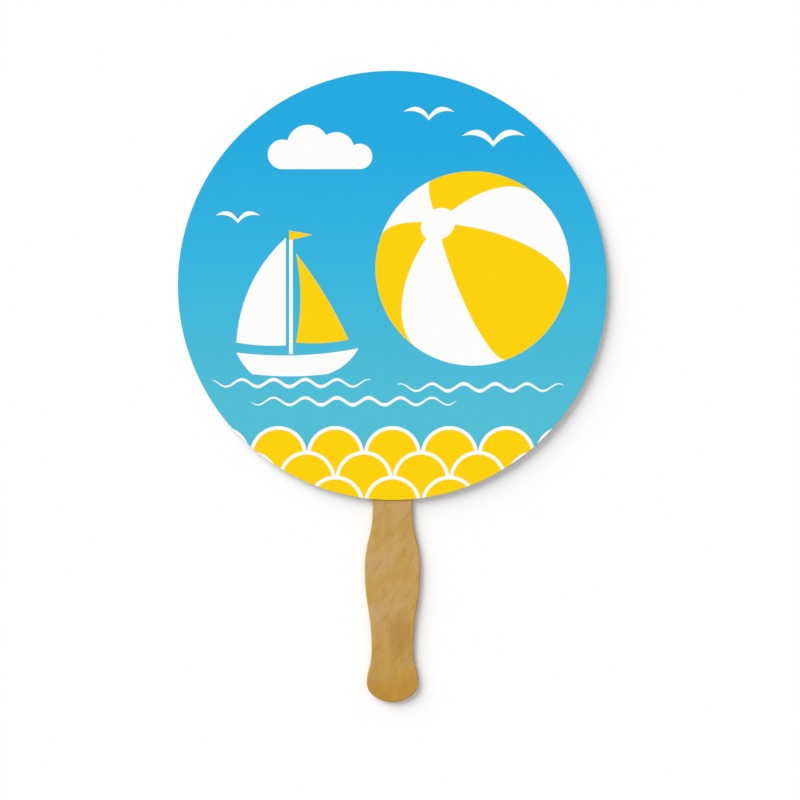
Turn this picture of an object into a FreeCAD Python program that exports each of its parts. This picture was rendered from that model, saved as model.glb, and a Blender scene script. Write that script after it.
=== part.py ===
"""Round hand fan: a printed card disc on a flat birch handle.

The fan lies on its back with its printed face up. The disc's centre is the origin in X and Y, the handle
points along -Y, and Z = 0 is the surface that the fan lies on. Lengths are in millimetres.

From the front to the back the fan is a sandwich: a stiff front card that stays flat, a sheet of adhesive
round the tongue, and a thinner back card that is pressed over the tongue and so stands out as a long
ridge. The handle's tongue lies in that ridge, held on both sides by an adhesive strip.
"""

import FreeCAD
import Part
import Sketcher
import math
import os

DRIVING_SIZES = [
    ("disc_diameter", 203.2, "both cards, 8 inches across"),
    ("front_card_thickness", 0.6, "stiff printed card, about 24 point"),
    ("back_card_thickness", 0.3, "thinner lining card, about 12 point"),
    ("card_adhesive_thickness", 0.1, "adhesive sheet between the two cards"),
    ("card_adhesive_set_back", 1.0, "adhesive stops this far inside the cards' edge"),
    ("card_adhesive_gap", 1.0, "adhesive stops this far from the foot of the ridge"),
    ("tongue_adhesive_thickness", 0.1, "adhesive strip on each face of the tongue"),
    ("tongue_adhesive_inset", 1.5, "strip stays this far inside the tongue's sides and end"),
    ("tongue_adhesive_mouth_inset", 3.0, "strip starts this far inside the disc's edge"),
    ("handle_length", 203.2, "whole stick, tongue included, 8 inches"),
    ("handle_thickness", 2.4, "birch strip, 3/32 inch"),
    ("handle_edge_radius", 0.5, "rounding of the stick's edges, from tumbling"),
    ("neck_width", 18.7, "parallel neck and tongue"),
    ("neck_shown", 4.8, "parallel neck that shows below the disc"),
    ("belly_swell", 3.8, "each side of the belly stands out this far past the neck"),
    ("belly_below_neck", 28.1, "widest place of the grip, below the parallel neck's lower end"),
    ("waist_hollow", 3.3, "each side of the waist lies this far inside the belly"),
    ("waist_below_belly", 38.1, "narrowest place of the grip, below the widest"),
    ("bulb_swell", 2.3, "each side of the bulb stands out this far past the waist"),
    ("bulb_below_waist", 15.6, "widest place of the bulb, below the waist"),
    ("bulb_corner_radius", 7.3, "arc at each side of the bulb's end"),
    ("bulb_end_crown", 1.8, "middle of the bulb's end stands this far past its corner arcs"),
    ("neck_bend_share", 0.46, "neck arc's share of the bend from neck to belly"),
    ("waist_bend_share", 0.53, "waist arc's share of the bend from waist to belly"),
    ("bulb_bend_share", 0.42, "bulb arc's share of the bend from bulb to waist"),
    ("ridge_side_gap", 0.3, "ridge's flat is this much wider than the tongue, each side"),
    ("ridge_slope_run", 9.0, "width of the sloping card at each side of the ridge"),
    ("cut_overrun", 5.0, "sheet left outside the disc until it is die-cut"),
]

OUTPUT_FOLDER = "parts"

doc = FreeCAD.newDocument("round_hand_fan")
sheet = doc.addObject("Spreadsheet::Sheet", "sizes")


def fill_sheet():
    """Writes each driving size as a name, a plain number with an alias, and a note."""
    for row, (name, value, note) in enumerate(DRIVING_SIZES, start=1):
        sheet.set(f"A{row}", name)
        sheet.set(f"B{row}", str(value))
        sheet.setAlias(f"B{row}", name)
        sheet.set(f"C{row}", note)
    doc.recompute()


def size(name):
    """The number in the sheet under that alias."""
    return float(sheet.get(name))


def bound(formula):
    """The formula with each driving size's name replaced by a reference to its cell."""
    words = formula.split()
    names = {name for name, _, _ in DRIVING_SIZES}
    return " ".join(f"{sheet.Name}.{word}" if word in names else word for word in words)


def point(x, y):
    return FreeCAD.Vector(x, y, 0)


def arc(centre, radius, start, end):
    """An arc from one angle to the other, counterclockwise, in radians."""
    return Part.ArcOfCircle(Part.Circle(centre, FreeCAD.Vector(0, 0, 1), radius), start, end)


def new_body(label):
    return doc.addObject("PartDesign::Body", label)


def place(body, along_y, up_z):
    """Binds the body's place to formulas of driving sizes."""
    body.setExpression(".Placement.Base.y", bound(along_y))
    body.setExpression(".Placement.Base.z", bound(up_z))


def new_sketch(body, name, plane):
    """A sketch on one of the body's own origin planes."""
    sketch = body.newObject("Sketcher::SketchObject", name)
    support = [f for f in body.Origin.OriginFeatures if f.Role == plane][0]
    sketch.AttachmentSupport = [(support, "")]
    sketch.MapMode = "FlatFace"
    return sketch


def dimension(sketch, kind, where, value, formula, name):
    """Adds a dimension with its present value and binds it to a formula of driving sizes."""
    index = sketch.addConstraint(Sketcher.Constraint(kind, *where, value))
    sketch.renameConstraint(index, name)
    sketch.setExpression(f"Constraints.{name}", bound(formula))


def relate(sketch, kind, *where):
    sketch.addConstraint(Sketcher.Constraint(kind, *where))


def keep_on_centreline(sketch, shape, spot):
    """Keeps a shape's point on the sketch's upright axis, which constraints number -2."""
    relate(sketch, "PointOnObject", shape, spot, -2)


def circle_sketch(body, name, centre_y, centre_formula, radii):
    """Circles on one centre on the Y axis, in the body's XY plane. radii lists (name, value, formula)."""
    sketch = new_sketch(body, name, "XY_Plane")
    for number, (radius_name, radius, formula) in enumerate(radii):
        circle = Part.Circle(point(0, centre_y), FreeCAD.Vector(0, 0, 1), radius)
        sketch.addGeometry(circle, False)
        if number:
            relate(sketch, "Coincident", 0, CENTRE, number, CENTRE)
        dimension(sketch, "Radius", (number,), radius, formula, radius_name)
    if centre_formula:
        keep_on_centreline(sketch, 0, CENTRE)
        dimension(sketch, "DistanceY", (0, CENTRE, *ORIGIN), -centre_y, centre_formula, "centre_y")
    else:
        relate(sketch, "Coincident", 0, CENTRE, *ORIGIN)
    return sketch


def strip_sketch(body, name, half_width, width_formula, length, length_formula):
    """A strip in the body's XY plane, with its round end centred on the origin and its length along -Y."""
    sketch = new_sketch(body, name, "XY_Plane")
    right_top, left_top = point(half_width, 0), point(-half_width, 0)
    right_foot, left_foot = point(half_width, -length), point(-half_width, -length)
    sketch.addGeometry(arc(point(0, 0), half_width, 0, math.pi), False)
    sketch.addGeometry(Part.LineSegment(left_top, left_foot), False)
    sketch.addGeometry(Part.LineSegment(left_foot, right_foot), False)
    sketch.addGeometry(Part.LineSegment(right_foot, right_top), False)
    relate(sketch, "Coincident", 0, CENTRE, *ORIGIN)
    relate(sketch, "Tangent", 0, END, 1, START)
    relate(sketch, "Tangent", 3, END, 0, START)
    relate(sketch, "Coincident", 1, END, 2, START)
    relate(sketch, "Coincident", 2, END, 3, START)
    relate(sketch, "Vertical", 1)
    relate(sketch, "Vertical", 3)
    relate(sketch, "Horizontal", 2)
    dimension(sketch, "Radius", (0,), half_width, width_formula, "half_width")
    dimension(sketch, "DistanceY", (1, END, *ORIGIN), length, length_formula, "length")
    return sketch


def pad(body, sketch, name, formula):
    feature = body.newObject("PartDesign::Pad", name)
    feature.Profile = sketch
    feature.setExpression("Length", bound(formula))
    doc.recompute()
    return feature


def cut_through(body, sketch, name):
    """Cuts the sketch right through the body, on both sides of the sketch's plane."""
    before = body.Shape.Volume
    feature = body.newObject("PartDesign::Pocket", name)
    feature.Profile = sketch
    feature.Type = "ThroughAll"
    feature.Midplane = True
    doc.recompute()
    if body.Shape.Volume >= before:
        raise RuntimeError(f"{name} in {body.Label} cut nothing")
    return feature


# How a sketch's constraints number a shape's own points, and the sketch's origin
START, END, CENTRE = range(1, 4)
ORIGIN = (-1, START)

fill_sheet()

# Sizes that follow from the driving ones, each with its formula
disc_radius = size("disc_diameter") / 2
DISC_RADIUS = "disc_diameter / 2"
neck_half = size("neck_width") / 2
NECK_HALF = "neck_width / 2"

# Half widths of the stick where its outline runs straight along it, from the disc down to the bulb
HALF_WIDTHS = {
    "neck": NECK_HALF,
    "belly": NECK_HALF + " + belly_swell",
    "waist": NECK_HALF + " + belly_swell - waist_hollow",
    "bulb": NECK_HALF + " + belly_swell - waist_hollow + bulb_swell",
}

# Heights of the same four places above the stick's lower end
BULB_HEIGHT = "bulb_corner_radius + bulb_end_crown"
HEIGHTS = {
    "bulb": BULB_HEIGHT,
    "waist": BULB_HEIGHT + " + bulb_below_waist",
    "belly": BULB_HEIGHT + " + bulb_below_waist + waist_below_belly",
    "neck": BULB_HEIGHT + " + bulb_below_waist + waist_below_belly + belly_below_neck",
}

# The part of the stick that shows below the disc
grip_length = (
    size("bulb_corner_radius")
    + size("bulb_end_crown")
    + size("bulb_below_waist")
    + size("waist_below_belly")
    + size("belly_below_neck")
    + size("neck_shown")
)
GRIP_LENGTH = HEIGHTS["neck"] + " + neck_shown"

# The tongue's rounded end is centred here, measured from the disc's centre along Y.
tongue_end_y = size("handle_length") - grip_length - disc_radius - neck_half
TONGUE_END_Y = "handle_length - ( " + GRIP_LENGTH + " ) - disc_diameter / 2 - neck_width / 2"

# Levels above the surface that the fan lies on
HANDLE_BACK_Z = "back_card_thickness + tongue_adhesive_thickness"
HANDLE_FRONT_Z = HANDLE_BACK_Z + " + handle_thickness"
FRONT_CARD_BACK_Z = HANDLE_FRONT_Z + " + tongue_adhesive_thickness"
CARD_ADHESIVE_Z = FRONT_CARD_BACK_Z + " - card_adhesive_thickness"

# The ridge's depth is how far the back card's flat part lies above the ridge's flat bottom.
ridge_depth = (
    size("handle_thickness")
    + 2 * size("tongue_adhesive_thickness")
    - size("card_adhesive_thickness")
)
RIDGE_DEPTH = "( handle_thickness + 2 * tongue_adhesive_thickness - card_adhesive_thickness )"
ridge_flat_half = neck_half + size("ridge_side_gap")
RIDGE_FLAT_HALF = "neck_width / 2 + ridge_side_gap"
ridge_foot_half = ridge_flat_half + size("ridge_slope_run")
RIDGE_FOOT_HALF = RIDGE_FLAT_HALF + " + ridge_slope_run"


def front_card():
    """The stiff printed disc. It lies flat over the whole sandwich."""
    body = new_body("front_card")
    outline = circle_sketch(
        body, "front_card_outline", 0, None, [("radius", disc_radius, DISC_RADIUS)]
    )
    pad(body, outline, "front_card_sheet", "front_card_thickness")
    place(body, "0", FRONT_CARD_BACK_Z)
    return body


def card_adhesive():
    """The adhesive sheet that joins the two cards, all round the ridge. It starts as a full disc."""
    body = new_body("card_adhesive")
    centre_formula = TONGUE_END_Y
    set_back_radius = disc_radius - size("card_adhesive_set_back")
    outline = circle_sketch(
        body,
        "card_adhesive_outline",
        -tongue_end_y,
        centre_formula,
        [("radius", set_back_radius, DISC_RADIUS + " - card_adhesive_set_back")],
    )
    pad(body, outline, "card_adhesive_sheet", "card_adhesive_thickness")
    window_half = ridge_foot_half + size("card_adhesive_gap")
    window = strip_sketch(
        body,
        "ridge_window",
        window_half,
        RIDGE_FOOT_HALF + " + card_adhesive_gap",
        disc_radius + tongue_end_y + size("cut_overrun"),
        DISC_RADIUS + " + " + TONGUE_END_Y + " + cut_overrun",
    )
    cut_through(body, window, "ridge_window_cut")
    place(body, TONGUE_END_Y, CARD_ADHESIVE_Z)
    return body


def ridge_profile(body):
    """Half of the ridge's cross-section, in the XZ plane: a card of even thickness that runs flat, slopes
    up in two equal arcs, and ends where it meets the flat card. The centreline is the Z axis."""
    card = size("back_card_thickness")
    run = size("ridge_slope_run")
    arcs_apart = (run**2 + ridge_depth**2) / (2 * ridge_depth)
    inner_radius = (arcs_apart - card) / 2
    outer_radius = inner_radius + card
    turn = 2 * math.atan2(ridge_depth, run)
    low_centre = point(ridge_flat_half, card + inner_radius)
    high_centre = point(ridge_foot_half, ridge_depth - inner_radius)
    low_end = turn - math.pi / 2
    high_end = turn + math.pi / 2

    sketch = new_sketch(body, "ridge_profile", "XZ_Plane")
    lines_and_arcs = [
        Part.LineSegment(point(0, 0), point(ridge_flat_half, 0)),
        arc(low_centre, outer_radius, -math.pi / 2, low_end),
        arc(high_centre, inner_radius, math.pi / 2, high_end),
        Part.LineSegment(point(ridge_foot_half, ridge_depth), point(ridge_foot_half, ridge_depth + card)),
        arc(high_centre, outer_radius, math.pi / 2, high_end),
        arc(low_centre, inner_radius, -math.pi / 2, low_end),
        Part.LineSegment(point(ridge_flat_half, card), point(0, card)),
        Part.LineSegment(point(0, card), point(0, 0)),
    ]
    for shape in lines_and_arcs:
        sketch.addGeometry(shape, False)
    bottom, low_outer, high_inner, foot, high_outer, low_inner, top, middle = range(8)
    relate(sketch, "Coincident", bottom, START, *ORIGIN)
    relate(sketch, "Horizontal", bottom)
    relate(sketch, "Tangent", bottom, END, low_outer, START)
    relate(sketch, "Tangent", low_outer, END, high_inner, END)
    relate(sketch, "Coincident", high_inner, START, foot, START)
    relate(sketch, "Vertical", foot)
    relate(sketch, "Coincident", foot, END, high_outer, START)
    relate(sketch, "Tangent", high_outer, END, low_inner, END)
    relate(sketch, "Tangent", low_inner, START, top, START)
    relate(sketch, "Horizontal", top)
    relate(sketch, "Coincident", top, END, middle, START)
    relate(sketch, "Coincident", middle, END, *ORIGIN)
    relate(sketch, "Vertical", middle)
    relate(sketch, "Coincident", low_outer, CENTRE, low_inner, CENTRE)
    relate(sketch, "Coincident", high_inner, CENTRE, high_outer, CENTRE)
    flat = (bottom, START, bottom, END)
    dimension(sketch, "DistanceX", flat, ridge_flat_half, RIDGE_FLAT_HALF, "flat_half")
    dimension(sketch, "DistanceY", (middle, END, middle, START), card, "back_card_thickness", "card")
    dimension(sketch, "DistanceX", (bottom, END, foot, START), run, "ridge_slope_run", "slope_run")
    dimension(sketch, "DistanceY", (bottom, END, foot, START), ridge_depth, RIDGE_DEPTH, "depth")
    relate(sketch, "Vertical", high_inner, CENTRE, foot, START)
    apart_formula = f"( ridge_slope_run ^ 2 + {RIDGE_DEPTH} ^ 2 ) / ( 2 * {RIDGE_DEPTH} )"
    radius_formula = f"( {apart_formula} - back_card_thickness ) / 2"
    dimension(sketch, "Radius", (low_inner,), inner_radius, radius_formula, "low_inner_radius")
    return sketch


def back_card():
    """The lining disc, made as the real one is: a blank sheet, pressed over the tongue, then die-cut.
    The body's own origin is the centre of the ridge's round end."""
    body = new_body("back_card")
    centre_formula = TONGUE_END_Y
    overrun = size("cut_overrun")
    blank = circle_sketch(
        body,
        "blank_outline",
        -tongue_end_y,
        centre_formula,
        [("radius", disc_radius + overrun, DISC_RADIUS + " + cut_overrun")],
    )
    blank.setExpression(".AttachmentOffset.Base.z", bound(RIDGE_DEPTH))
    pad(body, blank, "blank_sheet", "back_card_thickness")
    length = disc_radius + tongue_end_y + 2 * overrun
    length_formula = DISC_RADIUS + " + " + TONGUE_END_Y + " + 2 * cut_overrun"
    window = strip_sketch(
        body, "ridge_window", ridge_foot_half, RIDGE_FOOT_HALF, length, length_formula
    )
    cut_through(body, window, "ridge_window_cut")

    profile = ridge_profile(body)
    half = pad(body, profile, "ridge_half", length_formula)
    mirrored = body.newObject("PartDesign::Mirrored", "ridge_whole")
    mirrored.Originals = [half]
    mirrored.MirrorPlane = (profile, ["V_Axis"])
    body.Tip = mirrored
    doc.recompute()
    straight_volume = body.Shape.Volume
    round_end = body.newObject("PartDesign::Revolution", "ridge_round_end")
    round_end.Profile = profile
    round_end.ReferenceAxis = (profile, ["V_Axis"])
    round_end.Angle = 180
    doc.recompute()
    if body.Shape.Volume <= straight_volume:
        raise RuntimeError("the ridge's round end added nothing")

    waste = circle_sketch(
        body,
        "waste_ring",
        -tongue_end_y,
        centre_formula,
        [
            ("inner_radius", disc_radius, DISC_RADIUS),
            ("outer_radius", disc_radius + 3 * overrun, DISC_RADIUS + " + 3 * cut_overrun"),
        ],
    )
    cut_through(body, waste, "die_cut")
    place(body, TONGUE_END_Y, "0")
    return body


def tongue_adhesive(label, up_z):
    """The strip that holds one face of the tongue, rounded as the tongue is at its end."""
    body = new_body(label)
    outline = strip_sketch(
        body,
        label + "_outline",
        neck_half - size("tongue_adhesive_inset"),
        NECK_HALF + " - tongue_adhesive_inset",
        disc_radius + tongue_end_y - size("tongue_adhesive_mouth_inset"),
        DISC_RADIUS + " + " + TONGUE_END_Y + " - tongue_adhesive_mouth_inset",
    )
    pad(body, outline, label + "_strip", "tongue_adhesive_thickness")
    place(body, TONGUE_END_Y, up_z)
    return body


def bend(across, along, narrow_share):
    """The outline runs from a narrow place to a wide one in two arcs that meet where it turns over.
    across is the step in half width, along the step in height, and narrow_share the narrow place's
    share of the two radii. Returns its radius, the wide place's radius and the angle of each arc."""
    both = (across**2 + along**2) / (2 * across)
    return narrow_share * both, (1 - narrow_share) * both, 2 * math.atan2(across, along)


def bend_formula(across, along, narrow_share):
    """The narrow place's radius, as a formula of the names of the two steps and the share."""
    return f"{narrow_share} * ( {across} ^ 2 + {along} ^ 2 ) / ( 2 * {across} )"


def handle_outline(body):
    """Half of the stick's outline, to the right of the Y axis, with its lower end on the origin."""
    top = size("handle_length")
    corner_r = size("bulb_corner_radius")
    crown = size("bulb_end_crown")
    bulb_y = corner_r + crown
    waist_y = bulb_y + size("bulb_below_waist")
    belly_y = waist_y + size("waist_below_belly")
    neck_y = belly_y + size("belly_below_neck")
    belly_x = neck_half + size("belly_swell")
    waist_x = belly_x - size("waist_hollow")
    bulb_x = waist_x + size("bulb_swell")

    neck_r, belly_top_r, neck_turn = bend(
        size("belly_swell"), size("belly_below_neck"), size("neck_bend_share")
    )
    waist_top_r, belly_low_r, waist_turn = bend(
        size("waist_hollow"), size("waist_below_belly"), size("waist_bend_share")
    )
    waist_low_r, bulb_r, bulb_turn = bend(
        size("bulb_swell"), size("bulb_below_waist"), 1 - size("bulb_bend_share")
    )
    corner_x = bulb_x - corner_r
    base_r = (corner_x**2 + bulb_y**2 - corner_r**2) / (2 * crown)
    corner_start = math.atan2(bulb_y - base_r, corner_x)

    sketch = new_sketch(body, "handle_outline", "XY_Plane")
    lines_and_arcs = [
        arc(point(0, base_r), base_r, -math.pi / 2, corner_start),
        arc(point(corner_x, bulb_y), corner_r, corner_start, 0),
        arc(point(bulb_x - bulb_r, bulb_y), bulb_r, 0, bulb_turn),
        arc(point(waist_x + waist_low_r, waist_y), waist_low_r, math.pi, math.pi + bulb_turn),
        arc(point(waist_x + waist_top_r, waist_y), waist_top_r, math.pi - waist_turn, math.pi),
        arc(point(belly_x - belly_low_r, belly_y), belly_low_r, -waist_turn, 0),
        arc(point(belly_x - belly_top_r, belly_y), belly_top_r, 0, neck_turn),
        arc(point(neck_half + neck_r, neck_y), neck_r, math.pi, math.pi + neck_turn),
        Part.LineSegment(point(neck_half, neck_y), point(neck_half, top - neck_half)),
        arc(point(0, top - neck_half), neck_half, 0, math.pi / 2),
        Part.LineSegment(point(0, top), point(0, 0)),
    ]
    for shape in lines_and_arcs:
        sketch.addGeometry(shape, False)
    base, corner, bulb_top, waist_low, waist_top, belly_low = range(6)
    belly_top, neck_arc, side, end, middle = range(6, 11)
    tangent_places = [
        (base, END, corner, START),
        (corner, END, bulb_top, START),
        (bulb_top, END, waist_low, END),
        (waist_low, START, waist_top, END),
        (waist_top, START, belly_low, START),
        (belly_low, END, belly_top, START),
        (belly_top, END, neck_arc, END),
        (neck_arc, START, side, START),
        (side, END, end, START),
    ]
    for where in tangent_places:
        relate(sketch, "Tangent", *where)
    relate(sketch, "Coincident", end, END, middle, START)
    relate(sketch, "Coincident", middle, END, base, START)
    relate(sketch, "Coincident", middle, END, *ORIGIN)
    keep_on_centreline(sketch, middle, START)
    keep_on_centreline(sketch, base, CENTRE)
    keep_on_centreline(sketch, end, CENTRE)
    relate(sketch, "Vertical", side)
    for turning in (corner, waist_top, belly_top):
        spot = START if turning == belly_top else END
        relate(sketch, "Horizontal", turning, CENTRE, turning, spot)
    places = [
        ("bulb", (corner, END), bulb_x, bulb_y),
        ("waist", (waist_top, END), waist_x, waist_y),
        ("belly", (belly_top, START), belly_x, belly_y),
        ("neck", (side, START), neck_half, neck_y),
    ]
    for name, spot, half, height in places:
        dimension(sketch, "DistanceX", (*ORIGIN, *spot), half, HALF_WIDTHS[name], name + "_half")
        dimension(sketch, "DistanceY", (*ORIGIN, *spot), height, HEIGHTS[name], name + "_up")
    neck_formula = bend_formula("belly_swell", "belly_below_neck", "neck_bend_share")
    waist_top_formula = bend_formula("waist_hollow", "waist_below_belly", "waist_bend_share")
    waist_low_formula = bend_formula("bulb_swell", "bulb_below_waist", "( 1 - bulb_bend_share )")
    radii = [
        ("neck_radius", neck_arc, neck_r, neck_formula),
        ("waist_top_radius", waist_top, waist_top_r, waist_top_formula),
        ("waist_low_radius", waist_low, waist_low_r, waist_low_formula),
        ("corner_radius", corner, corner_r, "bulb_corner_radius"),
    ]
    for name, shape, radius, formula in radii:
        dimension(sketch, "Radius", (shape,), radius, formula, name)
    dimension(sketch, "DistanceY", (middle, END, middle, START), top, "handle_length", "length")
    return sketch


def handle():
    """The flat stick, cut from birch strip and tumbled, so that every outer edge is rounded."""
    body = new_body("handle")
    half = pad(body, handle_outline(body), "handle_half", "handle_thickness")
    whole = body.newObject("PartDesign::Mirrored", "handle_whole")
    whole.Originals = [half]
    whole.MirrorPlane = (half.Profile[0], ["V_Axis"])
    whole.Refine = True
    body.Tip = whole
    doc.recompute()
    level_edges = [
        f"Edge{number}"
        for number, edge in enumerate(whole.Shape.Edges, start=1)
        if edge.BoundBox.ZLength < size("handle_thickness") / 2
    ]
    rounding = body.newObject("PartDesign::Fillet", "handle_edges")
    rounding.Base = (whole, level_edges)
    rounding.setExpression("Radius", bound("handle_edge_radius"))
    doc.recompute()
    place(body, "0 - disc_diameter / 2 - ( " + GRIP_LENGTH + " )", HANDLE_BACK_Z)
    return body


def check(objects):
    """Stops the build if any object failed or any piece isn't one valid solid."""
    for obj in doc.Objects:
        if "Invalid" in obj.State or "Error" in obj.State:
            raise RuntimeError(f"{obj.Name} failed: {obj.State}")
    for body in objects:
        shape = body.Shape
        if shape.isNull() or not shape.isValid() or len(shape.Solids) != 1:
            raise RuntimeError(f"{body.Label} isn't one valid solid")


def export(objects):
    os.makedirs(OUTPUT_FOLDER, exist_ok=True)
    for body in objects:
        body.Shape.exportStep(os.path.join(OUTPUT_FOLDER, body.Label + ".step"))
        box = body.Shape.optimalBoundingBox()
        print(
            f"{body.Label}: volume {body.Shape.Volume:.1f}, "
            f"x {box.XMin:.2f} to {box.XMax:.2f}, y {box.YMin:.2f} to {box.YMax:.2f}, "
            f"z {box.ZMin:.2f} to {box.ZMax:.2f}"
        )


pieces = [
    front_card(),
    card_adhesive(),
    back_card(),
    tongue_adhesive("tongue_adhesive_front", HANDLE_FRONT_Z),
    tongue_adhesive("tongue_adhesive_back", "back_card_thickness"),
    handle(),
]
doc.recompute()
check(pieces)
export(pieces)
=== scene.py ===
"""Round hand fan, dressed for rendering.

The fan lies on its back on a pale floor, printed face up, with its stick along -Y. The packed model is the
frame: every piece takes its size and place from it, or from a named size here. Lengths are in metres.
"""

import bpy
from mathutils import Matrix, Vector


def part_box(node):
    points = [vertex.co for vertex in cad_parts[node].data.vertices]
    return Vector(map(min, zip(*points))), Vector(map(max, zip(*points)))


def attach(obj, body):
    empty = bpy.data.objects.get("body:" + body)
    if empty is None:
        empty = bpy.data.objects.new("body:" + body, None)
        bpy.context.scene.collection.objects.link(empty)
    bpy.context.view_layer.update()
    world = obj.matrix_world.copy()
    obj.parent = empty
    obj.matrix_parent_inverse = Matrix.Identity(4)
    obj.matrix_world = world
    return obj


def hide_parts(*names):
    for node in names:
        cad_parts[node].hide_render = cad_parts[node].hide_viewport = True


bl_info = {
    "name": "Round hand fan",
    "version": (1, 0, 0),
    "blender": (4, 5, 0),
    "location": "View3D > Sidebar > Fan",
    "description": "Printed card, lining card, birch stick and glue films of a round hand fan",
    "category": "Object",
}

import math

import bpy
from bpy.props import FloatProperty, FloatVectorProperty, IntProperty, PointerProperty
from mathutils import Vector

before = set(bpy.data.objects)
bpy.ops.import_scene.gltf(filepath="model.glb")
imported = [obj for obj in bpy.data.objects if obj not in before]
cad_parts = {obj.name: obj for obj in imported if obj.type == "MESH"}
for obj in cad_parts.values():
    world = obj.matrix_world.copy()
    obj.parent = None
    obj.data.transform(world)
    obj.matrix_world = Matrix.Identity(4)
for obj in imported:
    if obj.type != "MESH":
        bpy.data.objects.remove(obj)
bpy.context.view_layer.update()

MM = 0.001

# The disc in the photograph, in its pixels
PHOTO_PX = 800
DISC_CENTRE_PX = (392.4, 285.35)
DISC_RADIUS_PX = 214.7

CARD_LOW, CARD_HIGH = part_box("front_card")
LINING_LOW, LINING_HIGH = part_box("back_card")
STICK_LOW, STICK_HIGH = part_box("handle")
DISC_RADIUS = CARD_HIGH.x
FLOOR_Z = LINING_LOW.z

# Material slots of the printed card. The last one marks the cutting walls, and goes with them.
SKY_INK, YELLOW_INK, BARE_COAT, CUT_EDGE, WALL = range(5)

# Material slots of the lining card
UNCOATED, DIE_CUT = range(2)

# A face is level where its normal's Z is above this, and upright where it is below
LEVEL_NORMAL_Z = 0.5

# Ink covers the rolled edge too, down to where it comes within 10 degrees of upright
INKED_NORMAL_Z = math.sin(math.radians(10))


def linear(hex_colour):
    """An sRGB hex colour as linear red, green and blue."""
    channels = [int(hex_colour[i : i + 2], 16) / 255 for i in (1, 3, 5)]
    return [c / 12.92 if c <= 0.04045 else ((c + 0.055) / 1.055) ** 2.4 for c in channels]


WHITE_PAINT = linear("#FFFFFF")


def length_setting(label, description, default):
    """A length, shown to a hundredth of a millimetre."""
    return FloatProperty(name=label, description=description, default=default, unit="LENGTH", precision=5)


def colour_setting(label, description, hex_colour):
    """A colour, given in sRGB and kept linear."""
    return FloatVectorProperty(
        name=label, description=description, default=linear(hex_colour), subtype="COLOR", min=0, max=1
    )


def angle_setting(label, description, degrees):
    """An angle, given in degrees and kept in radians."""
    return FloatProperty(name=label, description=description, default=math.radians(degrees), subtype="ANGLE")


def share_setting(label, description, default):
    """A share from 0 to 1."""
    return FloatProperty(
        name=label, description=description, default=default, subtype="FACTOR", min=0, max=1
    )


class FanPicture(bpy.types.PropertyGroup):
    """The picture printed on the front card"""

    sky_top: colour_setting("Sky, top", "Blue ink at the disc's top", "#21ACE1")
    sky_middle: colour_setting("Sky, middle", "Blue ink at the disc's middle", "#36B6E0")
    sky_low: colour_setting("Sky, low", "Turquoise ink above the lower band", "#52C0D6")
    yellow: colour_setting("Yellow", "Solid yellow ink", "#FFD304")
    white: colour_setting("White", "Coated card with no ink on it", "#FFFFFE")
    ball_width: length_setting("Ball width", "Diameter of the striped ball", 92 * MM)
    ball_x: length_setting("Ball, across", "Ball's centre to the right of the disc's", 38 * MM)
    ball_y: length_setting("Ball, up", "Ball's centre above the disc's", 8 * MM)
    boat_height: length_setting("Boat height", "Sailing boat from its keel to its pennant", 68 * MM)
    boat_x: length_setting("Boat, across", "Boat's mast to the right of the disc's centre", -48 * MM)
    boat_y: length_setting("Boat, up", "Boat's waterline above the disc's centre", -42 * MM)
    cloud_width: length_setting("Cloud width", "Width of the cloud", 50 * MM)
    cloud_x: length_setting("Cloud, across", "Cloud's middle to the right of the disc's centre", -34 * MM)
    cloud_y: length_setting("Cloud, up", "Cloud's base above the disc's centre", 55 * MM)
    gull_span: length_setting("Gull span", "Wing span of the largest gull", 30 * MM)
    wave_length: length_setting("Wave length", "From crest to crest of the wavy lines", 15 * MM)
    line_weight: length_setting("Line weight", "Weight of the white lines", 1.7 * MM)
    scallop_width: length_setting("Scallop width", "Diameter of the circles in the lower band", 27 * MM)
    band_height: length_setting("Band height", "Top of the lower band above the disc's edge", 35 * MM)


class FanCards(bpy.types.PropertyGroup):
    """The two cards and their glue, apart from the picture"""

    core: colour_setting("Card core", "Cut edge of the cards", "#F1EEE6")
    lining: colour_setting("Lining", "Uncoated face of the lining card", "#F2F0EA")
    glue: colour_setting("Glue", "Dried white glue", "#EDE8D8")
    edge_roll: length_setting("Edge roll", "Rounding that the die leaves on the printed edge", 0.12 * MM)
    ply: length_setting("Ply", "Thickness of one layer of fibres in the card's edge", 0.15 * MM)
    rim_points: IntProperty(name="Rim points", description="Points round each disc", default=360, min=32)
    ridge_flat: length_setting("Ridge flat", "Half the width of the ridge's flat bottom", 9.65 * MM)
    ridge_run: length_setting("Ridge run", "Width of the ridge's slope, seen flat", 9.0 * MM)
    ridge_end: length_setting("Ridge end", "Centre of the ridge's round end below the disc's", 3.45 * MM)
    puckers: IntProperty(name="Puckers", description="Creases round the ridge's end", default=11, min=0)
    pucker_height: length_setting("Pucker height", "Height of those creases", 0.14 * MM)


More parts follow.
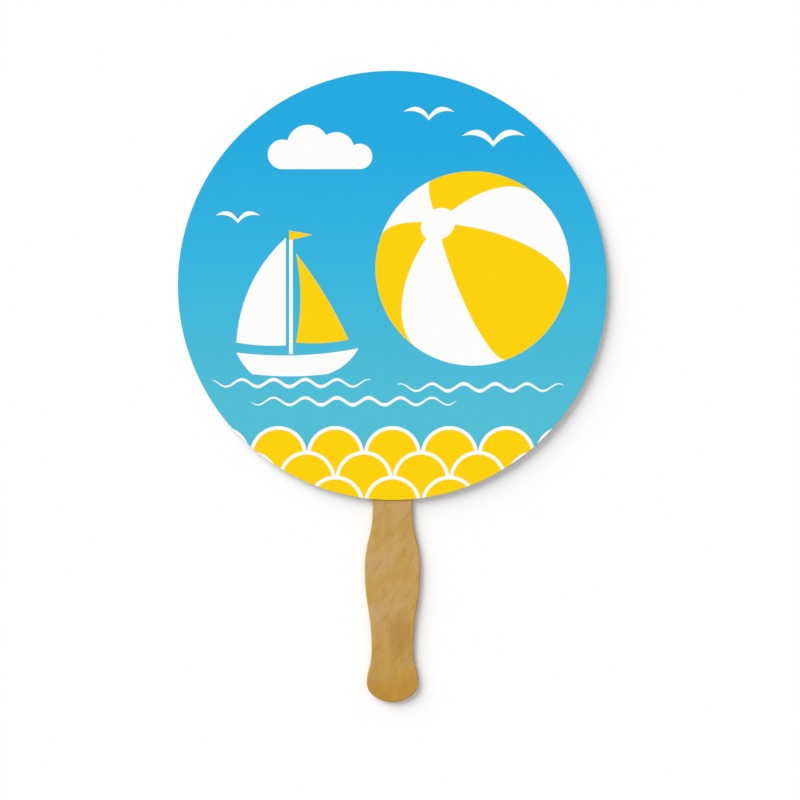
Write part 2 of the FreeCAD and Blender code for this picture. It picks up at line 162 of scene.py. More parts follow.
class FanStick(bpy.types.PropertyGroup):
    """The birch stick"""

    neck: colour_setting("Neck", "Birch beside the disc", "#C6A265")
    belly: colour_setting("Belly", "Birch at the widest place of the grip", "#C6A15F")
    waist: colour_setting("Waist", "Birch at the narrowest place of the grip", "#C19A57")
    bulb: colour_setting("Bulb", "Birch at the rounded end", "#B98C37")
    sapwood: colour_setting("Sapwood", "Paler, pinker clouds", "#C8A375")
    ochre: colour_setting("Ochre", "Yellower clouds between them", "#BE9038")
    heartwood: colour_setting("Heartwood", "The brown patch at the waist, and the figure", "#AF8232")
    # Browner colour given to the stick's sides and rounded edges
    edge_brown: colour_setting("Edge_brown", "Sides and rounded edges", "#BA8838")
    cloud: length_setting("Cloud", "Width of the clouds in the wood", 8 * MM)
    figure: length_setting("Figure", "Width of the slanting bands of the figure", 2.6 * MM)
    slant: angle_setting("Slant", "Angle at which clouds and figure cross the stick", 35)
    streak: length_setting("Streak", "Width of the streaks along the grain", 1.4 * MM)
    fibre: length_setting("Fibre", "Width of a bundle of fibres", 0.35 * MM)
    pore: length_setting("Pore", "Width of a pore", 0.35 * MM)
    patch_width: length_setting("Patch width", "Width of the brown patch", 12 * MM)
    patch_length: length_setting("Patch length", "Length of the brown patch, along the stick", 22 * MM)
    patch_x: length_setting("Patch, across", "Brown patch to the right of the stick's middle", 3.5 * MM)
    patch_y: length_setting("Patch, up", "Brown patch above the stick's lower end", 33 * MM)


class FanStage(bpy.types.PropertyGroup):
    """Camera, floor and light"""

    lens: FloatProperty(
        name="Lens", description="Focal length of the camera", default=100, min=1, unit="CAMERA"
    )
    floor_width: length_setting("Floor width", "Side of the square floor", 8.0)
    light_level: share_setting("Light level", "Light on the floor, where 1 shows white as white", 0.985)
    sky_share: share_setting("Sky share", "Share of that light that comes from all round", 0.5)
    sun_height: angle_setting("Sun height", "Angle of the main light above the floor", 32)
    sun_side: angle_setting("Sun side", "Where the main light comes from, counted from +X", 136)
    sun_width: angle_setting("Sun width", "Angle that the main light fills", 48)


GROUPS = {"fan_picture": FanPicture, "fan_cards": FanCards, "fan_stick": FanStick, "fan_stage": FanStage}


def select_only(*objects):
    """Selects these objects alone, and makes the first one active."""
    bpy.ops.object.select_all(action="DESELECT")
    for obj in objects:
        obj.select_set(True)
    bpy.context.view_layer.objects.active = objects[0]


def every(element):
    """The test that each vertex, edge and polygon passes."""
    return True


def edit(obj, kind, wanted, *operations):
    """Selects the vertices, edges or polygons of obj that pass the test, and runs (operator, settings) on
    them in edit mode."""
    select_only(obj)
    kinds = ("vertices", "edges", "polygons")
    bpy.context.tool_settings.mesh_select_mode = [kind == each for each in kinds]
    for each in kinds:
        for element in getattr(obj.data, each):
            element.select = each == kind and wanted(element)
    bpy.ops.object.mode_set(mode="EDIT")
    for operator, settings in operations:
        operator(**settings)
    bpy.ops.object.mode_set(mode="OBJECT")


def apply_modifier(obj, kind, **settings):
    """Gives obj a modifier with these settings, and applies it."""
    modifier = obj.modifiers.new(kind.title(), kind)
    for name, value in settings.items():
        setattr(modifier, name, value)
    select_only(obj)
    bpy.ops.object.modifier_apply(modifier=modifier.name)


def give_materials(obj, materials):
    """Gives obj these materials in place of those it has."""
    obj.data.materials.clear()
    for material in materials:
        obj.data.materials.append(material)


def finish_piece(obj, name, node, smooth_below):
    """Names the piece, shades it smooth over edges that turn by less than this many degrees, and lets it
    stand for the frame's node."""
    obj.name = name
    obj.data.name = name
    select_only(obj)
    bpy.ops.object.shade_smooth_by_angle(angle=math.radians(smooth_below))
    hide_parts(node)
    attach(obj, "root")


def add_node(owner, kind, inputs=None, stops=(), **settings):
    """Adds a node to the owner's tree. inputs are values to set or sockets to link, by name or place, and
    stops are the places and colours of a colour ramp, its two ends first."""
    node = owner.node_tree.nodes.new("ShaderNode" + kind)
    for name, value in settings.items():
        setattr(node, name, value)
    for key, value in (inputs or {}).items():
        socket = node.inputs[key]
        if isinstance(value, bpy.types.NodeSocket):
            owner.node_tree.links.new(value, socket)
        else:
            socket.default_value = [*value, 1.0] if socket.type == "RGBA" else value
    for number, (place, colour) in enumerate(stops):
        # A new ramp already has its two ends
        elements = node.color_ramp.elements
        element = elements[number] if number < 2 else elements.new(place)
        element.position = place
        element.color = [*colour, 1.0]
    return node


def new_material(name):
    """An empty material, and the place in metres that its patterns read."""
    material = bpy.data.materials.new(name)
    material.use_nodes = True
    material.node_tree.nodes.clear()
    return material, add_node(material, "TexCoord").outputs["Object"]


def shows_backdrop(owner):
    """1 for a ray by which the camera sees the backdrop itself, or sees it in gloss or through glass."""
    path = add_node(owner, "LightPath").outputs
    seen = path["Is Camera Ray"]
    for other in ("Is Glossy Ray", "Is Transmission Ray"):
        seen = add_node(owner, "Math", {0: seen, 1: path[other]}, operation="MAXIMUM").outputs["Value"]
    return seen


def lumps(material, place, widths, detail=3.0):
    """Cloudy values round 0.5, in lumps of these widths along X, Y and Z. More detail roughens them."""
    scaled = add_node(material, "Mapping", {"Vector": place, "Scale": [1 / w for w in widths]})
    return add_node(
        material, "TexNoise", {"Vector": scaled.outputs["Vector"], "Scale": 1.0, "Detail": detail}
    ).outputs["Fac"]


def grained(material, place, width, stretch, detail):
    """Cloudy values in lumps of this width, drawn out along Y to stretch times as long."""
    return lumps(material, place, [width, stretch * width, width], detail)


def shaded(material, colour, pattern, low, high, span=(0.3, 0.7)):
    """The colour times a brightness that goes from low to high as the pattern goes over its span."""
    brightness = add_node(
        material,
        "MapRange",
        {"Value": pattern, "From Min": span[0], "From Max": span[1], "To Min": low, "To Max": high},
    )
    return add_node(
        material, "VectorMath", {"Vector": colour, "Scale": brightness.outputs["Result"]}, operation="SCALE"
    ).outputs["Vector"]


def tinted(material, colour, tint, pattern, span, share):
    """The colour turned towards the tint by up to this share, as the pattern goes over its span."""
    mixed = add_node(
        material,
        "MapRange",
        {"Value": pattern, "From Min": span[0], "From Max": span[1], "To Min": 0.0, "To Max": share},
        interpolation_type="SMOOTHSTEP",
    )
    both = add_node(material, "Mix", {0: mixed.outputs["Result"], 6: colour, 7: tint}, data_type="RGBA")
    return both.outputs[2]


def finished(material, colour, relief, height, **inputs):
    """Ends the material in one Principled shader of this colour, over a relief that stands this high where
    its pattern is 1. The shader's other inputs are named with underscores."""
    bump = add_node(material, "Bump", {"Strength": 1.0, "Distance": height, "Height": relief})
    inputs = {name.replace("_", " "): value for name, value in inputs.items()}
    shader = add_node(
        material, "BsdfPrincipled", {"Base Color": colour, "Normal": bump.outputs["Normal"], **inputs}
    )
    add_node(material, "OutputMaterial", {"Surface": shader.outputs["BSDF"]})
    return material


def coated_print(name, colour_of):
    """Offset print on coated card: flat solid ink with a faint mottle, under a satin water-based coat that
    follows the shallow marks of the calender, so the colour is even and its shine faint and broad. colour_of
    makes the colour from the material and the place."""
    mottle_width = 2.5 * MM
    mark_width = 0.9 * MM
    mark_height = 0.004 * MM
    material, place = new_material(name)
    mottle = lumps(material, place, [mottle_width] * 3, detail=6.0)
    ink = shaded(material, colour_of(material, place), mottle, low=0.98, high=1.005)
    marks = lumps(material, place, [mark_width] * 3, detail=4.0)
    return finished(material, ink, marks, mark_height, Roughness=0.55, Specular_IOR_Level=0.06)


def sky_colour(settings):
    """A blue that turns slowly to turquoise down the disc, as a screened gradient prints it."""

    def colour(material, place):
        height = add_node(material, "SeparateXYZ", {"Vector": place}).outputs["Y"]
        share = add_node(
            material, "MapRange", {"Value": height, "From Min": -DISC_RADIUS, "From Max": DISC_RADIUS}
        )
        stops = [(0.22, settings.sky_low), (0.85, settings.sky_top), (0.56, settings.sky_middle)]
        return add_node(
            material, "ValToRGB", {"Fac": share.outputs["Result"]}, stops=stops
        ).outputs["Color"]

    return colour


def solid_colour(ink):
    """One ink all over."""

    def colour(material, place):
        return ink

    return colour


def bleached_board_edge(settings):
    """Solid bleached board where the die cut it: bare white fibres in thin layers, quite matt. The fibres
    are drawn wider than real ones, so that they show."""
    layer_length = 4 * MM
    fibre_width = 0.3 * MM
    fibre_height = 0.03 * MM
    material, place = new_material("bleached_board_die_cut")
    layers = lumps(material, place, [layer_length, layer_length, settings.ply], detail=2.0)
    cut = shaded(material, settings.core, layers, low=0.84, high=1.0)
    fibres = lumps(material, place, [fibre_width] * 3)
    return finished(material, cut, fibres, fibre_height, Roughness=0.9, Specular_IOR_Level=0.2)


def uncoated_board(settings):
    """Uncoated bleached board, only calendered: a warm white sheet, cloudy against the light, with the
    felt's short fibres and no shine. The fibres are drawn wider than real ones, so that they show."""
    cloud_width = 6 * MM
    fibre_width, fibre_length = 0.4 * MM, 1.8 * MM
    fibre_height = 0.015 * MM
    material, place = new_material("bleached_board_uncoated")
    clouds = lumps(material, place, [cloud_width] * 3, detail=5.0)
    sheet = shaded(material, settings.lining, clouds, low=0.975, high=1.0)
    fibres = lumps(material, place, [fibre_width, fibre_length, fibre_width])
    sheet = shaded(material, sheet, fibres, low=0.97, high=1.0)
    return finished(material, sheet, fibres, fibre_height, Roughness=0.85, Specular_IOR_Level=0.25)


def dried_glue(settings):
    """White glue, rolled on and dried: a milky cream film, smooth, with thicker and thinner spots."""
    spot_width = 3 * MM
    spot_height = 0.02 * MM
    material, place = new_material("white_glue_dried")
    spots = lumps(material, place, [spot_width] * 3)
    film = shaded(material, settings.glue, spots, low=0.9, high=1.0)
    return finished(material, film, spots, spot_height, Roughness=0.35)


def birch_tones(material, place, settings):
    """The wood's own tones along the stick, under clouds and a figure that cross it at a slant."""
    height = add_node(material, "SeparateXYZ", {"Vector": place}).outputs["Y"]
    along = add_node(
        material, "MapRange", {"Value": height, "From Min": STICK_LOW.y, "From Max": CARD_LOW.y}
    )
    stops = [(0.03, settings.bulb), (0.96, settings.neck), (0.18, settings.waist), (0.64, settings.belly)]
    wood = add_node(material, "ValToRGB", {"Fac": along.outputs["Result"]}, stops=stops).outputs["Color"]

    slanted = add_node(
        material, "Mapping", {"Vector": place, "Rotation": (0, 0, settings.slant)}
    ).outputs["Vector"]
    clouds = grained(material, slanted, settings.cloud, stretch=2, detail=5.0)
    wood = tinted(material, wood, settings.sapwood, clouds, span=(0.46, 0.66), share=0.6)
    wood = tinted(material, wood, settings.ochre, clouds, span=(0.52, 0.36), share=0.35)
    figure = grained(material, slanted, settings.figure, stretch=3.5, detail=5.0)
    wood = tinted(material, wood, settings.heartwood, figure, span=(0.48, 0.30), share=0.35)
    return shaded(material, wood, figure, low=0.96, high=1.03)


def brown_patch(material, place, wood, streaks, settings):
    """An oval patch of browner wood, whose edge follows the streaks. Less evenness makes it more ragged."""
    evenness = 1.4
    middle = Vector((settings.patch_x, STICK_LOW.y + settings.patch_y, 0))
    scale = Vector((2 / settings.patch_width, 2 / settings.patch_length, 0))
    inward = add_node(material, "Mapping", {"Vector": place, "Location": -middle * scale, "Scale": scale})
    reach = add_node(material, "VectorMath", {"Vector": inward.outputs["Vector"]}, operation="LENGTH")
    ragged = add_node(
        material, "Math", {0: reach.outputs["Value"], 1: evenness, 2: streaks}, operation="MULTIPLY_ADD"
    ).outputs["Value"]
    return tinted(material, wood, settings.heartwood, ragged, span=(2.3, 1.1), share=0.65)


def browner_edges(material, place, wood, settings):
    """Wood browner on the stick's sides and rounded edges than on its flats."""
    # The wood turns browner within this depth of each flat
    brown_band_depth = 0.25 * MM
    half = (STICK_HIGH.z - STICK_LOW.z) / 2
    height = add_node(material, "SeparateXYZ", {"Vector": place}).outputs["Z"]
    above = add_node(material, "Math", {0: height, 1: STICK_LOW.z + half}, operation="SUBTRACT")
    from_middle = add_node(
        material, "Math", {0: above.outputs["Value"]}, operation="ABSOLUTE"
    ).outputs["Value"]
    return tinted(
        material, wood, settings.edge_brown, from_middle, span=(half, half - brown_band_depth), share=0.7
    )


def tumbled_birch(settings):
    """Birch, punched from veneer and tumbled smooth: pale tan and matt, browner towards the bulb and in one
    streaked patch at the waist, with pinker and yellower clouds, a slanting figure, browner sides and
    rounded edges, fine fibres along the stick and short dark pores. Fibres and pores are drawn wider
    than real ones, so that they show."""
    fibre_height = 0.02 * MM
    material, place = new_material("birch_tumbled")
    streaks = grained(material, place, settings.streak, stretch=15, detail=4.0)
    fibres = grained(material, place, settings.fibre, stretch=30, detail=6.0)
    pores = grained(material, place, settings.pore, stretch=9, detail=1.0)
    wood = birch_tones(material, place, settings)
    wood = brown_patch(material, place, wood, streaks, settings)
    wood = browner_edges(material, place, wood, settings)
    wood = shaded(material, wood, streaks, low=0.965, high=1.025)
    wood = shaded(material, wood, fibres, low=0.95, high=1.05)
    wood = shaded(material, wood, pores, low=1.0, high=0.8, span=(0.66, 0.74))
    return finished(material, wood, fibres, fibre_height, Roughness=0.6, Specular_IOR_Level=0.12)


def circle(centre, radius, points=72):
    """A round outline."""
    turns = [2 * math.pi * i / points for i in range(points)]
    return [(centre[0] + radius * math.cos(turn), centre[1] + radius * math.sin(turn)) for turn in turns]


def bowed(origin, size, corners, steps=12):
    """An outline with bowed sides. Each corner is (x, y, bow), counterclockwise and in shares of the size.
    bow is how far the middle of the side to the next corner stands out, as a share of that side, and the
    side is a parabola."""
    outline = []
    for (x, y, bow), (next_x, next_y, _) in zip(corners, corners[1:] + corners[:1]):
        for step in range(steps):
            t = step / steps
            out = 4 * bow * t * (1 - t)
            share_x = x + t * (next_x - x) + out * (next_y - y)
            share_y = y + t * (next_y - y) - out * (next_x - x)
            outline.append((origin[0] + size * share_x, origin[1] + size * share_y))
    return outline


def ball_panels(centre, radius):
    """The coloured panels of a striped ball, and the round cap where they meet. They are drawn on a ball of
    radius 1 whose pole is tipped to the upper left, and seen from straight above."""
    panel_count = 3
    panel_turn = math.radians(66)
    cap_turn = math.radians(11)
    tip, side = math.radians(36), math.radians(128)
    steps = 24
    pole = Vector((math.sin(tip) * math.cos(side), math.sin(tip) * math.sin(side), math.cos(tip)))
    right = pole.orthogonal().normalized()
    up = pole.cross(right)

    def away_from_pole(turn):
        return math.cos(turn) * right + math.sin(turn) * up

    def on_ball(from_pole, turn):
        return math.cos(from_pole) * pole + math.sin(from_pole) * away_from_pole(turn)

    def seam(turn):
        """From the pole to where the seam goes out of sight over the ball's rim."""
        to_rim = math.atan2(pole.z, -away_from_pole(turn).z)
        return [on_ball(to_rim * i / steps, turn) for i in range(steps + 1)]

    def seen(points):
        return [(centre[0] + radius * point.x, centre[1] + radius * point.y) for point in points]

    panels = []
    for number in range(panel_count):
        start = 2 * math.pi * number / panel_count
        first, second = seam(start), seam(start + panel_turn)
        begin = math.atan2(first[-1].y, first[-1].x)
        sweep = (math.atan2(second[-1].y, second[-1].x) - begin) % (2 * math.pi)
        turns = [begin + sweep * i / steps for i in range(1, steps)]
        rim = [Vector((math.cos(turn), math.sin(turn), 0)) for turn in turns]
        panels.append(seen(first + rim + second[:0:-1]))
    cap_steps = 2 * steps
    cap = seen([on_ball(cap_turn, 2 * math.pi * i / cap_steps) for i in range(cap_steps)])
    return panels, cap


def wavy_line(left, right, level, length, weight, steps_per_wave=24):
    """A wavy line with pointed ends, which swings up and down by its own weight."""
    steps = round(steps_per_wave * (right - left) / length)
    upper, lower = [], []
    for step in range(steps + 1):
        x = left + step / steps * (right - left)
        middle = level + weight * math.sin(2 * math.pi * x / length)
        half = weight / 2 * math.sin(math.pi * step / steps) ** 0.5 if 0 < step < steps else 0
        upper.append((x, middle + half))
        lower.append((x, middle - half))
    return lower + upper[-2:0:-1]


def cloud(settings):
    """A cloud of round puffs, (x, y, radius) in shares of its width, on a flat base."""
    place, size = (settings.cloud_x, settings.cloud_y), settings.cloud_width
    puffs = [(-0.36, 0.14, 0.14), (-0.12, 0.22, 0.20), (0.15, 0.18, 0.17), (0.37, 0.12, 0.12)]
    base = [(-0.36, 0, 0), (0.37, 0, 0), (0.37, 0.14, 0), (-0.36, 0.14, 0)]
    rounds = [circle((place[0] + x * size, place[1] + y * size), radius * size) for x, y, radius in puffs]
    return [(BARE_COAT, outline) for outline in [*rounds, bowed(place, size, base)]]


def gulls(settings):
    """Gulls with spread wings, (x, y, size), whose places are in shares of the disc's radius and whose sizes
    are in shares of the largest one's."""
    flock = [(0.17, 0.78, 0.8), (0.47, 0.66, 1.0), (-0.72, 0.30, 0.7)]
    wings = [(-0.5, 0.12, -0.16), (0, -0.05, -0.16), (0.5, 0.12, 0.28), (0, 0.03, 0.28)]
    return [
        (BARE_COAT, bowed((x * DISC_RADIUS, y * DISC_RADIUS), share * settings.gull_span, wings))
        for x, y, share in flock
    ]


def striped_ball(settings):
    """A white ball with yellow panels and a white cap."""
    place, radius = (settings.ball_x, settings.ball_y), settings.ball_width / 2
    panels, cap = ball_panels(place, radius)
    yellow = [(YELLOW_INK, panel) for panel in panels]
    return [(BARE_COAT, circle(place, radius, points=144)), *yellow, (BARE_COAT, cap)]


def sailing_boat(settings):
    """A boat under sail, whose corners are in shares of its height."""
    hull = [(-0.38, 0.15, 0.05), (-0.27, 0, 0.03), (0.25, 0, 0.10), (0.47, 0.18, -0.04)]
    mainsail = [(-0.38, 0.22, 0.03), (-0.035, 0.20, 0), (-0.035, 0.95, 0.10)]
    jib = [(0.035, 0.22, 0.04), (0.40, 0.24, 0.03), (0.035, 0.84, -0.05)]
    mast = [(-0.013, 0.14, 0), (0.013, 0.14, 0), (0.013, 0.97, 0), (-0.013, 0.97, 0)]
    pennant = [(-0.013, 0.93, 0), (0.15, 0.97, 0), (-0.013, 1.0, 0)]
    parts = [
        (BARE_COAT, hull),
        (BARE_COAT, mainsail),
        (YELLOW_INK, jib),
        (BARE_COAT, mast),
        (YELLOW_INK, pennant),
    ]
    place = (settings.boat_x, settings.boat_y)
    return [(slot, bowed(place, settings.boat_height, corners)) for slot, corners in parts]


def waves(settings):
    """Wavy lines, (left, right, level) in shares of the disc's radius."""
    motifs = []
    for line in [(-0.84, -0.10, -0.455), (-0.66, 0.30, -0.54), (0.02, 0.80, -0.475)]:
        left, right, level = (share * DISC_RADIUS for share in line)
        outline = wavy_line(left, right, level, settings.wave_length, settings.line_weight)
        motifs.append((BARE_COAT, outline))
    return motifs


def scallops(settings):
    """A band of yellow circles ringed in white, in rows laid like tiles, half a circle along from each
    other. Each row covers the lower part of the one above."""
    motifs = []
    radius = settings.scallop_width / 2
    row_step = 0.87 * radius
    side_count = math.ceil(DISC_RADIUS / settings.scallop_width)
    for row in range(math.ceil(settings.band_height / row_step)):
        level = settings.band_height - DISC_RADIUS - radius - row * row_step
        for number in range(-side_count, side_count + 1):
            place = ((number + 0.5 * (row % 2)) * settings.scallop_width, level)
            if math.hypot(*place) < DISC_RADIUS + radius:
                motifs.append((BARE_COAT, circle(place, radius)))
                motifs.append((YELLOW_INK, circle(place, radius - settings.line_weight)))
    return motifs


def picture(settings):
    """The picture's motifs as (slot, outline), each laid over those before it."""
    motifs = []
    for motif in (cloud, gulls, striped_ball, sailing_boat, waves, scallops):
        motifs += motif(settings)
    return motifs


def inside(outline, x, y):
    """Whether the point lies in the outline: a line from it to the right crosses an odd number of sides."""
    crossed = False
    for (x0, y0), (x1, y1) in zip(outline, outline[1:] + outline[:1]):
        if (y0 > y) != (y1 > y) and x < x0 + (y - y0) * (x1 - x0) / (y1 - y0):
            crossed = not crossed
    return crossed


def cutting_wall(outline, low, high, marker):
    """A thin upright wall along the outline, made from a ring with as many points."""
    bpy.ops.mesh.primitive_circle_add(vertices=len(outline), radius=DISC_RADIUS)
    wall = bpy.context.object
    for vertex, (x, y) in zip(wall.data.vertices, outline):
        vertex.co = (x, y, low)
    rise = {"value": (0, 0, high - low)}
    edit(wall, "edges", every, (bpy.ops.mesh.extrude_region_move, {"TRANSFORM_OT_translate": rise}))
    wall.data.materials.append(marker)
    return wall


def print_picture(card, motifs, reach):
    """Cuts the motifs' outlines into the card's face with walls that go this far above and below it, and
    gives each patch the slot of its ink."""
    marker = bpy.data.materials.new("cutting_wall")
    card.data.materials.append(marker)
    face = CARD_HIGH.z
    walls = [cutting_wall(outline, face - reach, face + reach, marker) for _, outline in motifs]
    select_only(card, *walls)
    bpy.ops.object.join()

    def in_wall(polygon):
        return polygon.material_index == WALL

    def in_face(polygon):
        return polygon.normal.z > LEVEL_NORMAL_Z

    cut = {"mode": "SELECT_UNSELECT", "separate_mode": "NONE", "solver": "EXACT"}
    edit(card, "polygons", in_wall, (bpy.ops.mesh.intersect, cut))
    edit(card, "polygons", in_wall, (bpy.ops.mesh.delete, {"type": "FACE"}))
    edit(card, "polygons", in_face, (bpy.ops.mesh.quads_convert_to_tris, {}))
    card.data.materials.pop(index=WALL)
    bpy.data.materials.remove(marker)
    for polygon in card.data.polygons:
        if polygon.normal.z > INKED_NORMAL_Z:
            x, y, _ = polygon.center
            inks = [slot for slot, outline in motifs if inside(outline, x, y)]
            polygon.material_index = inks[-1] if inks else SKY_INK


class FAN_OT_printed_card(bpy.types.Operator):
    """Cuts the stiff front card, rolls its printed edge and prints the picture on it"""

    bl_idname = "fan.printed_card"
    bl_label = "Printed card"

    def execute(self, context):
        cards, inks = context.scene.fan_cards, context.scene.fan_picture
        middle = (CARD_LOW + CARD_HIGH) / 2
        thickness = CARD_HIGH.z - CARD_LOW.z
        bpy.ops.mesh.primitive_cylinder_add(
            vertices=cards.rim_points, radius=DISC_RADIUS, depth=thickness, location=middle
        )
        card = bpy.context.object
        bpy.ops.object.transform_apply(location=True)

        def on_printed_rim(edge):
            return all(card.data.vertices[v].co.z > middle.z for v in edge.vertices)

        roll = {"offset": cards.edge_roll, "segments": 3, "affect": "EDGES"}
        edit(card, "edges", on_printed_rim, (bpy.ops.mesh.bevel, roll))
        materials = [
            coated_print("offset_print_sky_blue", sky_colour(inks)),
            coated_print("offset_print_yellow", solid_colour(inks.yellow)),
            coated_print("coated_card_bare", solid_colour(inks.white)),
            bleached_board_edge(cards),
        ]
        give_materials(card, materials)
        for polygon in card.data.polygons:
            polygon.material_index = CUT_EDGE
        through_roll = 1.2 * cards.edge_roll
        print_picture(card, picture(inks), through_roll)
        finish_piece(card, "printed_card", "front_card", smooth_below=10)
        return {"FINISHED"}


def ridge_side(run, depth, steps):
    """(run, fall) of each step down the ridge's side, an S of two equal arcs with this many steps each."""
    turn = 2 * math.atan2(depth, run)
    radius = run / (2 * math.sin(turn))
    turns = [turn * i / steps for i in range(steps + 1)]
    bend = [(radius * math.sin(t), radius * (1 - math.cos(t))) for t in turns]
    points = bend + [(run - across, depth - down) for across, down in bend[-2::-1]]
    return [(b[0] - a[0], b[1] - a[1]) for a, b in zip(points, points[1:])]


class FAN_OT_lining_card(bpy.types.Operator):
    """Presses the thin lining card over the stick's tongue, which leaves a ridge with a creased round end"""

    bl_idname = "fan.lining_card"
    bl_label = "Lining card"

    # Level strip inside and outside the ridge's slope, and ring in which an upright face is the cut edge
    border = 0.6 * MM

    def execute(self, context):
        cards = context.scene.fan_cards
        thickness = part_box("tongue_adhesive_back")[0].z - LINING_LOW.z
        sheet = self.press_ridge(cards, thickness)
        self.crease(sheet, cards)
        apply_modifier(sheet, "SOLIDIFY", thickness=thickness, offset=0, use_even_offset=True)
        self.die_cut(sheet, cards)
        give_materials(sheet, [uncoated_board(cards), bleached_board_edge(cards)])
        for polygon in sheet.data.polygons:
            upright = abs(polygon.normal.z) < LEVEL_NORMAL_Z
            at_rim = math.hypot(polygon.center.x, polygon.center.y) > DISC_RADIUS - self.border
            polygon.material_index = DIE_CUT if upright and at_rim else UNCOATED
        finish_piece(sheet, "lining_card", "back_card", smooth_below=25)
        return {"FINISHED"}

    def press_ridge(self, cards, thickness):
        """The middle surface of a sheet larger than the disc. It starts as the ridge's outline, a strip with
        a round end that runs out past the disc's lower edge. Insets press the ridge down from it, and its
        border is then spread outwards, past the disc's edge all round."""
        spread_factor = 8
        depth = LINING_HIGH.z - LINING_LOW.z - thickness
        level = LINING_HIGH.z - thickness / 2
        foot = cards.ridge_flat + cards.ridge_run + self.border
        place = (0, -cards.ridge_end, level)
        bpy.ops.mesh.primitive_circle_add(
            vertices=cards.rim_points // 2, radius=foot, fill_type="NGON", location=place
        )
        sheet = bpy.context.object
        bpy.ops.object.transform_apply(location=True)
        for vertex in sheet.data.vertices:
            if vertex.co.y < -cards.ridge_end - self.border:
                vertex.co.y -= 2 * DISC_RADIUS
        steps = [(self.border, 0), *ridge_side(cards.ridge_run, depth, steps=8), (self.border, 0)]
        insets = [
            (bpy.ops.mesh.inset, {"thickness": run, "depth": -fall, "use_even_offset": True})
            for run, fall in steps
        ]
        edit(sheet, "polygons", every, *insets)
        edit(
            sheet, "polygons", every,
            (bpy.ops.mesh.region_to_loop, {}),
            (bpy.ops.mesh.extrude_region_move, {}),
            (
                bpy.ops.transform.resize,
                {"value": (spread_factor, spread_factor, 1), "center_override": (0, 0, 0)},
            ),
        )
        return sheet

    def crease(self, sheet, cards):
        """Small puckers where the flat card had to give round the ridge's end. They stand highest halfway
        down the slope and at the end's middle. Slow swells make their heights and spacing uneven, and the
        swells of height lead by part of a turn, so that the two sides differ."""
        mean_share, swing_share = 0.65, 0.35
        height_swells, spacing_swells, lead = 5, 3, 1.0
        for vertex in sheet.data.vertices:
            x, y = vertex.co.x, vertex.co.y + cards.ridge_end
            share = (math.hypot(x, y) - cards.ridge_flat) / cards.ridge_run
            if y > 0 and 0 < share < 1:
                turn = math.atan2(y, x)
                height = cards.pucker_height * math.sin(math.pi * share) ** 2 * math.sin(turn)
                height *= mean_share + swing_share * math.sin(height_swells * turn + lead)
                drift = math.sin(spacing_swells * turn)
                vertex.co.z += height * math.sin(2 * cards.puckers * turn + drift)

    def die_cut(self, sheet, cards):
        """Cuts the disc out of the sheet with a die that goes far past it above and below."""
        die_height = 8 * LINING_HIGH.z
        bpy.ops.mesh.primitive_cylinder_add(
            vertices=cards.rim_points, radius=DISC_RADIUS, depth=die_height
        )
        die = bpy.context.object
        apply_modifier(sheet, "BOOLEAN", operation="INTERSECT", solver="EXACT", object=die)
        bpy.data.objects.remove(die)


class FAN_OT_birch_stick(bpy.types.Operator):
    """Makes one closed skin of the stick and gives it its wood"""

    bl_idname = "fan.birch_stick"
    bl_label = "Birch stick"

    def execute(self, context):
        select_only(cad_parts["handle"])
        bpy.ops.object.duplicate()
        stick = bpy.context.object
        edit(stick, "vertices", every, (bpy.ops.mesh.remove_doubles, {"threshold": 0.001 * MM}))
        give_materials(stick, [tumbled_birch(context.scene.fan_stick)])
        finish_piece(stick, "birch_stick", "handle", smooth_below=30)
        apply_modifier(stick, "WEIGHTED_NORMAL", keep_sharp=True)
        return {"FINISHED"}


class FAN_OT_glue_films(bpy.types.Operator):
    """Gives the glue films between the cards and round the tongue their material"""

    bl_idname = "fan.glue_films"
    bl_label = "Glue films"

    def execute(self, context):
        glue = dried_glue(context.scene.fan_cards)
        for node in ("card_adhesive", "tongue_adhesive_front", "tongue_adhesive_back"):
            give_materials(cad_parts[node], [glue])
        return {"FINISHED"}


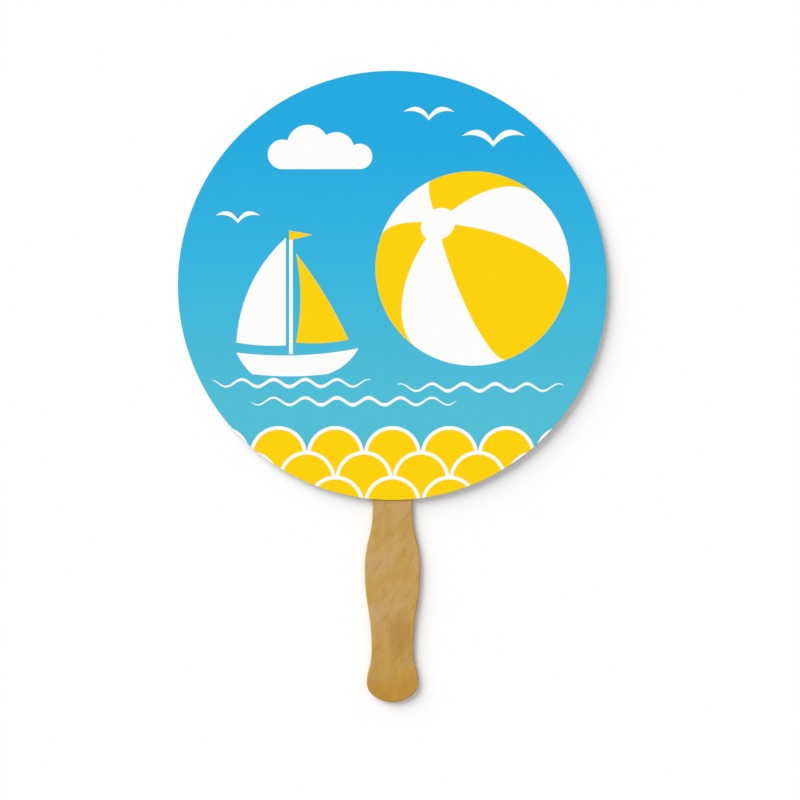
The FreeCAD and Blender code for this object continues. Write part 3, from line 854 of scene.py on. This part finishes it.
class FAN_OT_stage(bpy.types.Operator):
    """Lays a pale floor under the fan, lights it softly from the upper left and looks straight down"""

    bl_idname = "fan.stage"
    bl_label = "Stage"

    def execute(self, context):
        scene = context.scene
        scene.view_settings.view_transform = "Standard"
        self.lay_floor(scene.fan_stage)
        self.hang_light(scene, scene.fan_stage)
        self.set_camera(scene, scene.fan_stage)
        return {"FINISHED"}

    def lay_floor(self, stage):
        """White paint. The little that the light leaves it short of white is added where it is seen."""
        bpy.ops.mesh.primitive_plane_add(size=stage.floor_width, location=(0, 0, FLOOR_Z))
        floor = bpy.context.object
        floor.name = "floor"
        bpy.ops.object.transform_apply(location=True)
        material, _ = new_material("matt_white_paint")
        paint = add_node(material, "BsdfDiffuse", {"Color": WHITE_PAINT})
        lift = add_node(
            material, "Math", {0: shows_backdrop(material), 1: 1 - stage.light_level}, operation="MULTIPLY"
        )
        glow = add_node(material, "Emission", {"Strength": lift.outputs["Value"]})
        both = add_node(material, "AddShader", {0: paint.outputs["BSDF"], 1: glow.outputs["Emission"]})
        add_node(material, "OutputMaterial", {"Surface": both.outputs["Shader"]})
        floor.data.materials.append(material)

    def hang_light(self, scene, stage):
        """One wide soft lamp, and a sky that is white where the camera, gloss or glass shows it. The lamp is
        a sun, so it hangs anywhere clear of the fan."""
        bpy.ops.object.light_add(type="SUN", location=(0, 0, stage.floor_width / 2))
        lamp = bpy.context.object
        lamp.name = "soft_light"
        lamp.rotation_euler = (0, math.pi / 2 - stage.sun_height, stage.sun_side)
        lamp.data.angle = stage.sun_width
        lamp_level = stage.light_level * (1 - stage.sky_share)
        lamp.data.energy = math.pi * lamp_level / math.sin(stage.sun_height)

        world = bpy.data.worlds.new("white_studio")
        scene.world = world
        world.use_nodes = True
        world.node_tree.nodes.clear()
        sky_level = stage.light_level * stage.sky_share
        strength = add_node(
            world, "MapRange", {"Value": shows_backdrop(world), "To Min": sky_level, "To Max": 1.0}
        )
        sky = add_node(
            world, "Background", {"Color": WHITE_PAINT, "Strength": strength.outputs["Result"]}
        )
        add_node(world, "OutputWorld", {"Surface": sky.outputs["Background"]})

    def set_camera(self, scene, stage):
        """Straight above, where the disc's printed face has its size and place in the photograph."""
        metres_per_px = DISC_RADIUS / DISC_RADIUS_PX
        across = (PHOTO_PX / 2 - DISC_CENTRE_PX[0]) * metres_per_px
        up = (DISC_CENTRE_PX[1] - PHOTO_PX / 2) * metres_per_px
        bpy.ops.object.camera_add()
        camera = bpy.context.object
        camera.data.lens = stage.lens
        distance = PHOTO_PX * metres_per_px * stage.lens / camera.data.sensor_width
        camera.location = (across, up, CARD_HIGH.z + distance)
        scene.camera = camera


class FAN_PT_sidebar(bpy.types.Panel):
    """The fan's pieces and their settings"""

    bl_idname = "FAN_PT_sidebar"
    bl_label = "Round hand fan"
    bl_space_type = "VIEW_3D"
    bl_region_type = "UI"
    bl_category = "Fan"

    def draw(self, context):
        for operator in OPERATORS:
            self.layout.operator(operator.bl_idname)
        for name, group in GROUPS.items():
            box = self.layout.box()
            box.label(text=group.__doc__)
            for setting in group.__annotations__:
                box.prop(getattr(context.scene, name), setting)


OPERATORS = (
    FAN_OT_printed_card, FAN_OT_lining_card, FAN_OT_birch_stick, FAN_OT_glue_films, FAN_OT_stage
)
CLASSES = (*GROUPS.values(), *OPERATORS, FAN_PT_sidebar)


def register():
    for cls in CLASSES:
        bpy.utils.register_class(cls)
    for name, group in GROUPS.items():
        setattr(bpy.types.Scene, name, PointerProperty(type=group))


def unregister():
    for name in GROUPS:
        delattr(bpy.types.Scene, name)
    for cls in reversed(CLASSES):
        bpy.utils.unregister_class(cls)


def main():
    register()
    bpy.ops.fan.printed_card()
    bpy.ops.fan.lining_card()
    bpy.ops.fan.birch_stick()
    bpy.ops.fan.glue_films()
    bpy.ops.fan.stage()


if __name__ == "__main__":
    main()
